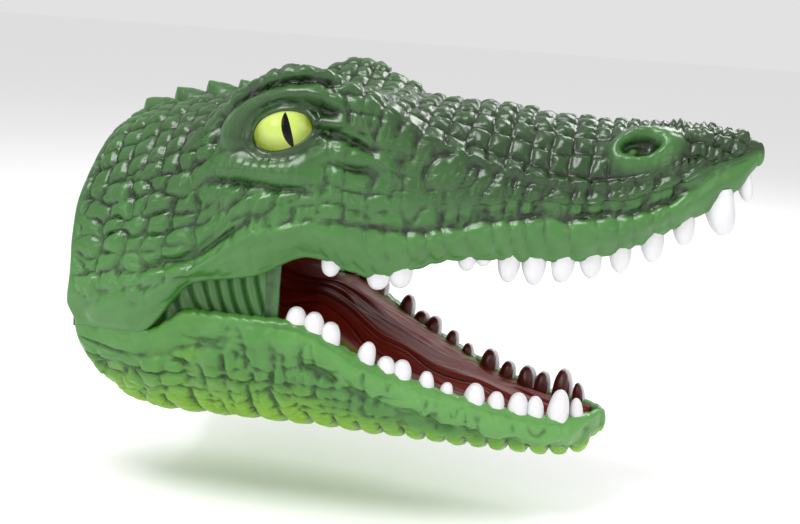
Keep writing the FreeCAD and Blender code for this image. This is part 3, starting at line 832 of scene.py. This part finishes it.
def liningGrid(palateRows, gulletRows, floorRows, across):
    # one sheet from the palate's front, back along it, down the bowed gullet and out along the floor
    v = np.linspace(-1, 1, across)[None, :]
    xTop = np.linspace(lining["palateFront"], lining["rearX"], palateRows)[:, None]
    xLow = np.linspace(lining["rearX"], lining["floorFront"], floorRows)[:, None]
    turn = np.linspace(0, math.pi, gulletRows + 2)[1:-1, None]
    topHalf = np.maximum(along(head["lipY"], xTop) - lining["inset"], 0.05)
    topHalf = np.minimum(topHalf, lining["rearHalf"] + 6 * smooth(-35, -26, xTop))
    lowHalf = np.maximum(along(jaw["lipY"], xLow) - lining["inset"], 0.05)
    lowHalf = np.minimum(lowHalf, lining["rearHalf"] + 6 * smooth(-35, -26, xLow))
    crest = np.cos(math.pi / 2 * v) ** 2
    topZ = along(head["lipZ"], xTop) + lining["palateRise"]
    topZ = topZ + lining["palateArch"] * np.minimum(1, topHalf / 26) * crest
    tongue = lining["tongueRise"] * np.minimum(1, lowHalf / 26)
    trough = lining["trough"] * np.minimum(1, lowHalf / 26) * bump(np.abs(v) - 0.6, 0.16)
    lowZ = along(jaw["lipZ"], xLow) - lining["floorDrop"] + tongue * crest - trough
    upper, lower = topZ[-1], lowZ[0]
    half = topHalf[-1] + (lowHalf[0] - topHalf[-1]) * (turn / math.pi)
    wallZ = (upper + lower) / 2 + (upper - lower) / 2 * np.cos(turn)
    wallX = lining["rearX"] - lining["bow"] * np.sin(turn) * np.sqrt(np.maximum(1 - (0.96 * v) ** 2, 0))
    x = np.vstack([xTop + 0 * v, wallX, xLow + 0 * v])
    y = np.vstack([topHalf * v, half * v, lowHalf * v])
    z = np.vstack([topZ, wallZ, lowZ])
    points = np.stack([x, y, z], axis=-1)
    facing = normals(points)
    return points, facing * np.sign(facing[palateRows // 2, across // 2, 2]) * -1


counts = (lining["palateRows"], lining["gulletRows"], lining["floorRows"], lining["across"])
sheet, facing = liningGrid(*counts)
path = np.cumsum(np.concatenate([[0], np.linalg.norm(np.diff(sheet[:, lining["across"] // 2], axis=0),
                                                      axis=1)]))[:, None]
acrossMm = sheet[..., 1]
shift = 3 * noise(path / 22 + 0 * acrossMm, acrossMm / 22, 163, 2)
strand = folds((path + 2 * shift) / 52, (acrossMm + 1.6 * shift) / 7.5, 167, 1)
thread = folds((path + 2 * shift) / 34, (acrossMm + 2 * shift) / 3.2, 173, 1)
patchy = 0.35 + 0.65 * smooth(-0.2, 0.4, noise(path / 18 + 0 * acrossMm, acrossMm / 14, 175))
height = 1.15 * (strand - 0.6) + 0.38 * patchy * (thread - 0.6)
edgeFade = smooth(1.0, 0.9, np.abs(np.linspace(-1, 1, lining["across"])))[None, :]
height = height * edgeFade
backSheet, backFacing = liningGrid(*lining["backCounts"])
floorPart = np.arange(sheet.shape[0])[:, None] > lining["palateRows"] + lining["gulletRows"]
gumSide = smooth(0.55, 0.98, np.abs(np.linspace(-1, 1, lining["across"])))[None, :]
tone = np.clip(0.72 - 0.72 * gumSide * floorPart + 0.18 * noise(path / 25, acrossMm / 9, 179, 2), 0, 1)
# painted shade in the folds between the strands of the lining
mouthLining = slab("mouthLining", sheet + facing * height[..., None],
                   backSheet - backFacing * lining["thick"], mouthRubber,
                   {"tone": (tone, 0.8), "creviceShade": (valleys(height), 0.2)})
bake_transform(mouthLining)
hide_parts("palate", "gullet_wall", "mouth_floor")


upperTeeth = [
    [(-20.5, 6.8, 6.5)], [(-5, 7.6, 6), (2, 8.2, 6.5)], [(23.5, 6.4, 5.6), (28.8, 5.6, 4)],
    [(37.5, 7.4, 9.4)], [(46, 8.2, 10)], [(55.5, 8, 9)], [(64.5, 7.6, 8.4)], [(74, 7.2, 9)],
    [(84, 7.8, 9.4)], [(94, 7.2, 9)], [(105, 9.6, 13)], [(112.8, 5, 8)]]
lowerTeeth = [
    [(-32, 7, 7), (-26.2, 7.4, 7.6), (-20.4, 7.4, 7.4)], [(-8, 6.4, 8.4)],
    [(-1.2, 6.8, 6), (4, 7, 7.2)], [(12.5, 5.6, 6.6)], [(19.5, 4.8, 5.2)], [(29, 7.2, 8)],
    [(36.5, 6.2, 7)], [(44.4, 7.2, 8.6), (50.4, 6.4, 8.6)], [(58.5, 7.6, 12.4)], [(65, 4.8, 8.4)]]
toothSet = {
    "upper": {"rows": upperTeeth, "rails": head, "gum": 2.0, "inset": 3.6, "lean": 8,
              "way": 1, "body": "head"},
    "lower": {"rows": lowerTeeth, "rails": jaw, "gum": -1.6, "inset": 4.6, "lean": 4,
              "way": -1, "body": "jaw"},
}
toothFollow, toothMidline, toothRoot = 0.35, 0.4, 2.0


def toothCrown(width, height, seed):
    # bulging cone with a blunt tip: half width is r times the root of 1 - t^2.7, a little oval and uneven
    rows, columns = 26, 32
    t = np.linspace(-toothRoot / height, 1, rows)[:, None]
    turn = np.linspace(0, 2 * math.pi, columns, endpoint=False)[None, :]
    r = 0.53 * width * (1 - np.clip(t, 0, 1) ** 2.7) ** 0.5
    r = r * (1 + 0.05 * noise(3 * np.cos(turn) + seed, 3 * np.sin(turn) + 2.5 * t, 181))
    bend = 0.05 * height * np.clip(t, 0, 1) ** 2 * (2 * scatter(np.array(seed), np.array(7), 191) - 1)
    x, y, z = r * np.cos(turn) + bend, 0.92 * r * np.sin(turn), height * t + 0 * turn
    z = np.where(t > 0.99, height, z)
    return np.stack([x, y, z], axis=-1)


def ringFaces(rows, columns, first):
    # faces round a tube of rows, with both ends closed by one face each
    index = np.arange(rows * columns).reshape(rows, columns) + first
    turned = np.roll(index, -1, axis=1)
    corners = [index[:-1], turned[:-1], turned[1:], index[1:]]
    faces = np.stack([c.ravel() for c in corners], axis=1).tolist()
    return faces + [index[0, ::-1].tolist(), index[-1].tolist()]


def turnMatrix(degrees, axis):
    return np.array(Matrix.Rotation(math.radians(degrees), 3, axis))


for jawName, row in toothSet.items():
    rails, way = row["rails"], row["way"]
    for word, hand in (("left", 1), ("right", -1)):
        for number, group in enumerate(row["rows"], 1):
            points, faces, inwardness = [], [], []
            for x, width, height in group:
                crown = toothCrown(width, height + abs(row["gum"]) - 1.1, int(10 * x) + 500 * (hand > 0))
                y = max(along(rails["lipY"], x) - row["inset"], width / 2 + toothMidline)
                fall = math.degrees(math.atan2(along(rails["lipZ"], x - 2) - along(rails["lipZ"], x + 2), 4))
                turn = turnMatrix(0 if way < 0 else 180, "X")
                turn = turnMatrix(way * hand * row["lean"], "X") @ turn
                turn = turnMatrix(toothFollow * fall, "Y") @ turn
                placed = crown @ turn.T + [x, hand * y, along(rails["lipZ"], x) + row["gum"]]
                middleLine = (np.array([0, 0, 1]) * crown[..., 2:3]) @ turn.T + [
                    x, hand * y, along(rails["lipZ"], x) + row["gum"]]
                out = (placed - middleLine) / (width / 2)
                toward = -0.85 * hand * out[..., 1] - 0.4 * out[..., 0]
                faces += ringFaces(*crown.shape[:2], sum(len(p) for p in points))
                points.append(placed.reshape(-1, 3))
                inwardness.append(smooth(0.30, 0.42, toward).ravel())
            tooth = putMesh(f"{jawName}Tooth{word.title()}{number}", np.vstack(points), faces, toothPaint,
                            {"inner": np.concatenate(inwardness)})
            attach(tooth, row["body"])
            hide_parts(f"{jawName}_tooth_{word}_{number}")


def domeHeight(x, z, lift=0.0):
    # outward distance of the eye's ball over the plane of the head, at its own radius plus lift
    r = eye["radius"] + lift
    flat = (x - eye["centreX"]) ** 2 + (z - eye["centreZ"]) ** 2
    return eye["crownY"] - eye["radius"] + np.sqrt(np.maximum(r * r - flat, 1.0))


def outlinePoint(turn, reach):
    # a point of the eye opening moved outward by reach, back in the head's X and Z
    tall = np.where(np.sin(turn) > 0, eye["upper"], eye["lower"])
    q = (tall + reach) * np.sin(turn)
    p = (eye["half"] + reach) * np.cos(turn) + eye["shift"] * np.sin(turn)
    tilt = math.radians(eye["tilt"])
    return (eye["x"] + p * math.cos(tilt) - q * math.sin(tilt),
            eye["z"] + p * math.sin(tilt) + q * math.cos(tilt))


def skinY(x, z):
    # outward distance of the finished left head skin at X and Z, from the nearest of its points
    part = (headOuter[..., 1] > 20) & (headOuter[..., 0] > -70) & (headOuter[..., 0] < -5)
    part = part & (headOuter[..., 2] > 88)
    cloud = headOuter[part]
    far = (cloud[None, :, 0] - x.ravel()[:, None]) ** 2 + (cloud[None, :, 2] - z.ravel()[:, None]) ** 2
    weight = 1 / (far + 0.15) ** 3
    return ((weight * cloud[None, :, 1]).sum(1) / weight.sum(1)).reshape(x.shape)


for word, hand in (("Left", 1), ("Right", -1)):
    rows, columns = 40, 64
    polar = np.linspace(0, 0.88, rows)[:, None]
    turn = np.linspace(0, 2 * math.pi, columns, endpoint=False)[None, :]
    r = eye["radius"]
    x = eye["centreX"] + r * np.sin(polar) * np.cos(turn)
    z = eye["centreZ"] + r * np.sin(polar) * np.sin(turn)
    y = eye["crownY"] - r + r * np.cos(polar) + 0 * turn
    ball = np.stack([x, hand * y, z], axis=-1)
    # painted shadow round the ball's edge, deeper toward the bottom
    shadow = smooth(0.3, 0.75, polar + 0.25 * np.sin(-turn))
    dome = putMesh("eye" + word, ball, ringFaces(rows, columns, 0), eyePaint,
                   {"edge": np.broadcast_to(shadow, x.shape)})
    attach(dome, "head")
    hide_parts("eye_" + word.lower())

    # slit: two arcs that meet above and below, standing just off the ball
    t = np.linspace(-1, 1, 41)[:, None]
    s = np.linspace(-1, 1, 13)[None, :]
    wide = 1.45 * (1 - np.abs(t) ** 2.2) ** 0.8 + 0.02
    lean = math.radians(16)
    p, q = wide * s + 0.5 * t * t, 5.9 * t
    x = -35.7 + p * math.cos(lean) - q * math.sin(lean)
    z = 115.4 + q * math.cos(lean) + p * math.sin(lean)
    front = np.stack([x, hand * domeHeight(x, z, 0.22 * (1 - s * s) + 0.02), z], axis=-1)
    behind = np.stack([x, hand * domeHeight(x, z, -0.5), z], axis=-1)
    slit = slab("pupil" + word, front, behind, pupilPaint, {"edge": (np.abs(s) + 0 * t, 0)})
    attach(slit, "head")
    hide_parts("pupil_" + word.lower())

    # eyelid: a soft roll round the opening, its inner edge on the ball and its outer edge in the skin
    steps = 128
    turn = np.linspace(0, 2 * math.pi, steps, endpoint=False)[:, None]
    reach = np.array([-0.3, 0.0, 0.4, 0.9, 1.5, 2.2, 3.0, 3.8, 4.6])[None, :]
    rise = np.array([-0.5, 0.25, 0.75, 1.0, 1.0, 0.85, 0.5, 0.0, -0.8])[None, :]
    x, z = outlinePoint(turn, reach)
    share = smooth(0.5, 3.4, reach)
    y = domeHeight(x, z) * (1 - share) + skinY(x, z) * share + rise
    y = y + 0.25 * noise(turn * 5, reach / 2, 193, 2) * smooth(0.4, 2, reach)
    shown = np.stack([x, hand * y, z], axis=-1)
    hidden = np.stack([x, hand * (y - 1.6 - 1.5 * np.sin(math.pi * share)), z], axis=-1)
    tube = np.concatenate([shown, hidden[:, ::-1]], axis=1)
    closed = np.concatenate([tube, tube[:, :1]], axis=1)
    # painted shade: near-black crevice shade at the lid's inner edge against the ball, lighter over the rest
    # of the lid
    lid = putMesh("eyelid" + word, closed, gridFaces(steps, closed.shape[1], ring=True), headRubber,
                  {"tone": np.full(closed.shape[:2], 0.8),
                   "creviceShade": np.where(np.arange(closed.shape[1]) < 2, 0.95, 0.45)[None, :] + 0 * turn})
    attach(lid, "head")


scutes = [(-99, 14, 5.0), (-86.8, 14, 5.4), (-74.6, 14, 5.4), (-62.4, 13.5, 4.4)]
points, faces, tones, scuteShade = [], [], [], []
for number, (x0, length, height) in enumerate(scutes):
    rows, columns = 28, 22
    a = np.linspace(0, 1, rows)[:, None]
    b = np.linspace(-1, 1, columns)[None, :]
    half = 6.6 * np.sin(math.pi * (0.06 + 0.88 * a)) ** 0.6
    x = x0 - length / 2 + length * a - 2.0 * (1 - np.abs(b)) * (1 - a)
    y = half * b
    ground = along(head["crownZ"], x) - 0.05 * y * y
    ridge = smooth(0, 0.12, a) * (1 - a) ** 0.7 * (1 - np.abs(b) ** 1.9)
    z = ground + height * 1.25 * ridge + 0.3 * noise(x / 2, y / 2, 197 + number, 2) - 0.5
    top = np.stack(np.broadcast_arrays(x, y, z), axis=-1)
    low = top.copy()
    low[..., 2] = np.broadcast_to(ground - 3, z.shape)
    first = sum(len(p) for p in points)
    second = first + rows * columns
    faces += gridFaces(rows, columns, first)
    faces += [face[::-1] for face in gridFaces(rows, columns, second)]
    for fine, coarse in zip(sideEdges(rows, columns, first), sideEdges(rows, columns, second)):
        faces += zipFaces(fine.tolist(), coarse.tolist())
    points += [top.reshape(-1, 3), low.reshape(-1, 3)]
    tones += [np.full(2 * rows * columns, 0.62)]
    # painted shade on each scute, darker toward its base and sides away from the raised crest
    scuteShade += [(0.5 * (1 - ridge)).ravel(), np.full(rows * columns, 0.3)]
neckScutes = putMesh("neckScutes", np.vstack(points), faces, headRubber,
                     {"tone": np.concatenate(tones), "creviceShade": np.concatenate(scuteShade)})
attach(neckScutes, "head")
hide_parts("neck_scutes")
print("pieces made")


def plainMaterial(name, code, gloss):
    material, tree = startMaterial(name)
    shader = addNode(tree, "ShaderNodeBsdfPrincipled", {"Base Color": colour(code), "Roughness": gloss})
    addNode(tree, "ShaderNodeOutputMaterial", {}, {"Surface": shader.outputs[0]})
    return material


floorMesh = bpy.data.meshes.new("studioFloor")
reachM = 6.0
floorMesh.from_pydata([(-reachM, -reachM, 0), (reachM, -reachM, 0), (reachM, reachM, 0),
                       (-reachM, reachM, 0)], [], [(0, 1, 2, 3)])
floorMesh.materials.append(plainMaterial("pale floor", "#FAFAFA", 0.8))
floorPiece = bpy.data.objects.new("studioFloor", floorMesh)
bpy.context.scene.collection.objects.link(floorPiece)
# the floor lies below the tip of the jaw at its widest opening, as when the puppet is held on the hand
floorPiece.location.z = -0.024

softLights = {
    "overhead": {"at": (-0.15, -0.30, 0.75), "size": 0.42, "watts": 4.8},
    "front": {"at": (-0.55, -0.95, 0.45), "size": 0.5, "watts": 1.6},
    "fill": {"at": (0.85, -0.65, 0.30), "size": 0.5, "watts": 1.0},
    "rear": {"at": (0.25, 0.55, 0.65), "size": 0.4, "watts": 3.0},
}
target = Vector((0, 0, 0.065))
for name, light in softLights.items():
    data = bpy.data.lights.new(name, "AREA")
    data.shape = "DISK"
    data.size = light["size"]
    data.energy = light["watts"]
    lamp = bpy.data.objects.new(name, data)
    lamp.location = light["at"]
    lamp.rotation_euler = (target - lamp.location).to_track_quat("-Z", "Y").to_euler()
    bpy.context.scene.collection.objects.link(lamp)

world = bpy.data.worlds.new("studio")
bpy.context.scene.world = world
world.use_nodes = True
world.node_tree.nodes["Background"].inputs["Color"].default_value = (1, 1, 1, 1)
world.node_tree.nodes["Background"].inputs["Strength"].default_value = 0.76

cameraSet = {"target": (-0.005, 0, 0.065), "distance": 0.444, "azimuth": 10.66, "elevation": 11.94,
             "roll": 4.0, "lens": 54.0}
azimuth, elevation, roll = [math.radians(cameraSet[k]) for k in ("azimuth", "elevation", "roll")]
back = Vector((math.sin(azimuth) * math.cos(elevation), -math.cos(azimuth) * math.cos(elevation),
               math.sin(elevation)))
right = Vector((math.cos(azimuth), math.sin(azimuth), 0))
up = back.cross(right)
turnedRight = right * math.cos(roll) + up * math.sin(roll)
turnedUp = up * math.cos(roll) - right * math.sin(roll)
cameraData = bpy.data.cameras.new("camera")
cameraData.lens = cameraSet["lens"]
cameraData.sensor_width = 36
camera = bpy.data.objects.new("camera", cameraData)
bpy.context.scene.collection.objects.link(camera)
placing = Matrix((turnedRight, turnedUp, back)).transposed().to_4x4()
placing.translation = Vector(cameraSet["target"]) + back * cameraSet["distance"]
camera.matrix_world = placing
bpy.context.scene.camera = camera
bpy.context.scene.view_settings.view_transform = "Standard"
print("studio made")
